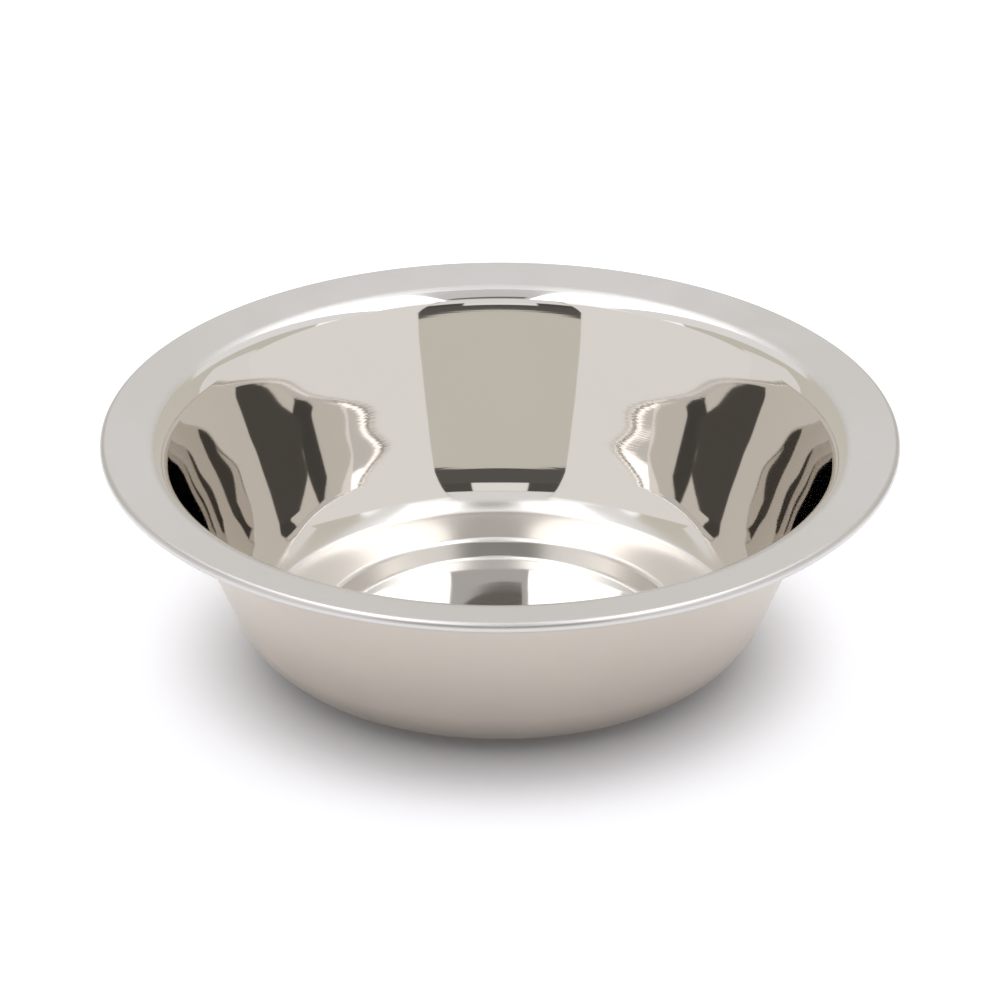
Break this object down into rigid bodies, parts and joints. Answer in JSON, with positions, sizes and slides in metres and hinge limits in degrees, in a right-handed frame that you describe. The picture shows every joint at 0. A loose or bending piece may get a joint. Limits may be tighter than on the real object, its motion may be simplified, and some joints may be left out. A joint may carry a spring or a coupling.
{
  "type": "mixing bowl",
  "caption": "Shallow round steel mixing bowl with straight sloping wall, wide flat flange and rolled edge, standing on a stepped foot.",
  "frame": {"origin": "centre of the foot's underside, where the bowl stands", "axes": "+Z along the bowl's axis, up out of the mouth; X and Y are alike"},
  "size_m": [0.28, 0.28, 0.0814],
  "materials": {
    "steel": "bright polished stainless steel inside, fine satin outside and on the flange"
  },
  "bodies": {
    "root": {"bowl": "steel"}
  },
  "joints": []
}
